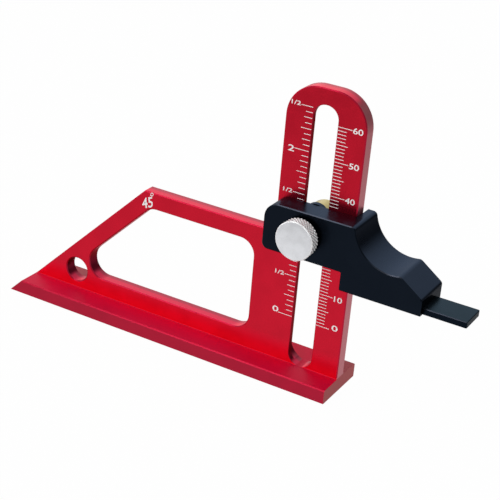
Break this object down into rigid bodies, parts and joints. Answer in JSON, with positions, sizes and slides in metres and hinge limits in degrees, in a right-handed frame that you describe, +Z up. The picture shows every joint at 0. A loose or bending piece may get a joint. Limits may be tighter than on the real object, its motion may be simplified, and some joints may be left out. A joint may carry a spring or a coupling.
{
  "type": "table saw height gauge",
  "caption": "Height gauge for a saw table: T-section base with a 45-degree end, a slotted post with graduated scales, and a clamped slider with a stepped arm and a flat finger.",
  "frame": {"origin": "on the underside of the base, in the middle plane of the web, under the axis of the post's slot", "axes": "+X along the base towards the finger, -Y towards the reader of the scales, +Z up the post"},
  "size_m": [0.1497, 0.0238, 0.0892],
  "materials": {
    "red_anodised": "red anodised over a fine blasted surface, satin",
    "white_fill": "white enamel fill in the scale's grooves",
    "black_anodised": "black anodised, satin",
    "black_finger": "black anodised, satin",
    "black_steel": "black oxide",
    "washer_steel": "zinc plated",
    "nickel_plate": "nickel plated, turned face and knurled rim",
    "nut_brass": "machined brass"
  },
  "bodies": {
    "gauge_frame": {"gauge_frame": "red_anodised", "millimetre_marks": "white_fill", "inch_marks": "white_fill"},
    "slider": {"slider_body": "black_anodised", "finger_blade": "black_finger", "finger_screws": "black_steel", "screw_washer": "washer_steel"},
    "thumb_screw": {"thumb_screw": "nickel_plate"},
    "clamp_nut": {"clamp_nut": "nut_brass"}
  },
  "joints": [
    {"name": "slider_lift", "type": "slide", "parent": "gauge_frame", "child": "slider", "axis": [0, 0, 1], "range_m": [-0.0362, 0.0281]},
    {"name": "knob_turn", "type": "hinge", "parent": "slider", "child": "thumb_screw", "pos_m": [0, 0, 0.04895], "axis": [0, -1, 0], "range_deg": [0, 360]},
    {"name": "nut_release", "type": "slide", "parent": "slider", "child": "clamp_nut", "axis": [0, 1, 0], "range_m": [0, 0.0007]}
  ],
  "couplings": [
    {"joint": "knob_turn", "follows": "nut_release", "rad_per_m": 8975}
  ]
}
